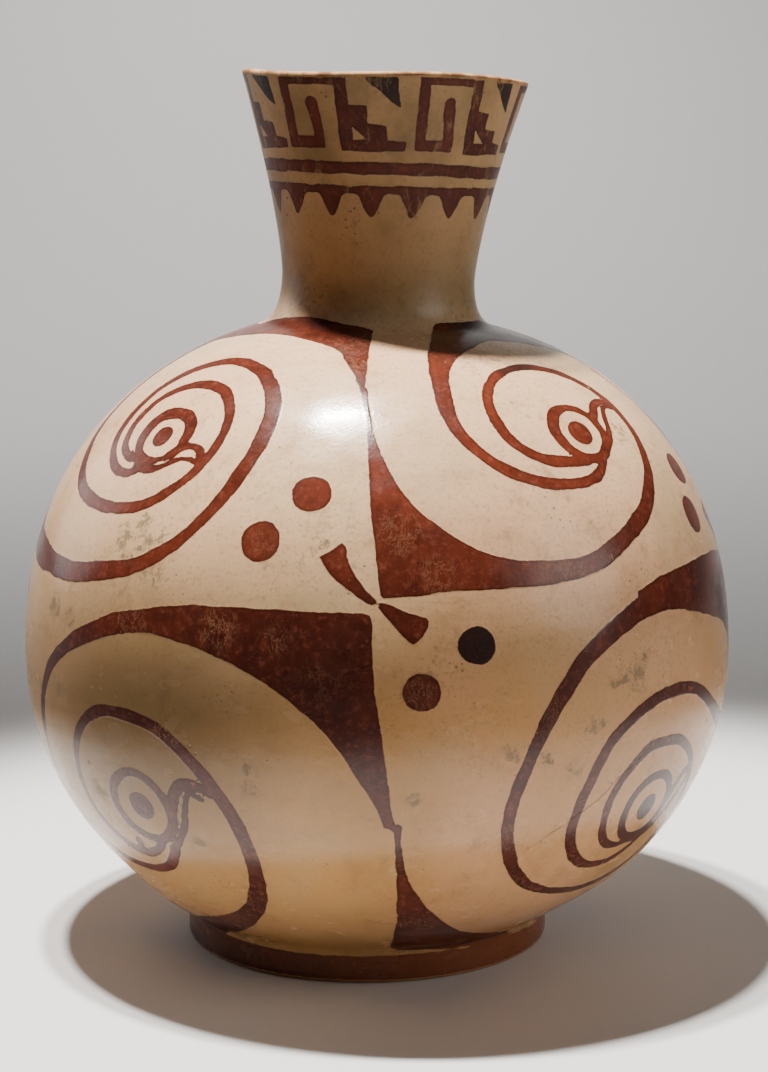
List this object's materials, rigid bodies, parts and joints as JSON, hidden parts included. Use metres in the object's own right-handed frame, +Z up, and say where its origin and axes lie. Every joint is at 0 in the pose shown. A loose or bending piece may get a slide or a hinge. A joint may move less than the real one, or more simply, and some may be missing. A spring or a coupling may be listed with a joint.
{
  "type": "globular jar",
  "caption": "Hollow round-bodied fired-clay jar with a short flaring neck and a low ring foot, painted in dark slip on a pale ground.",
  "frame": {"origin": "under the centre of the body, on the plane the foot stands on", "axes": "+Z up along the neck, -Y towards the viewer of the side that is painted in full, +X to that viewer's right"},
  "size_m": [0.2476, 0.2476, 0.3047],
  "materials": {
    "painted_clay": "burnished cream slip with dark red-brown slip painting"
  },
  "bodies": {
    "root": {"jar": "painted_clay"}
  },
  "joints": []
}
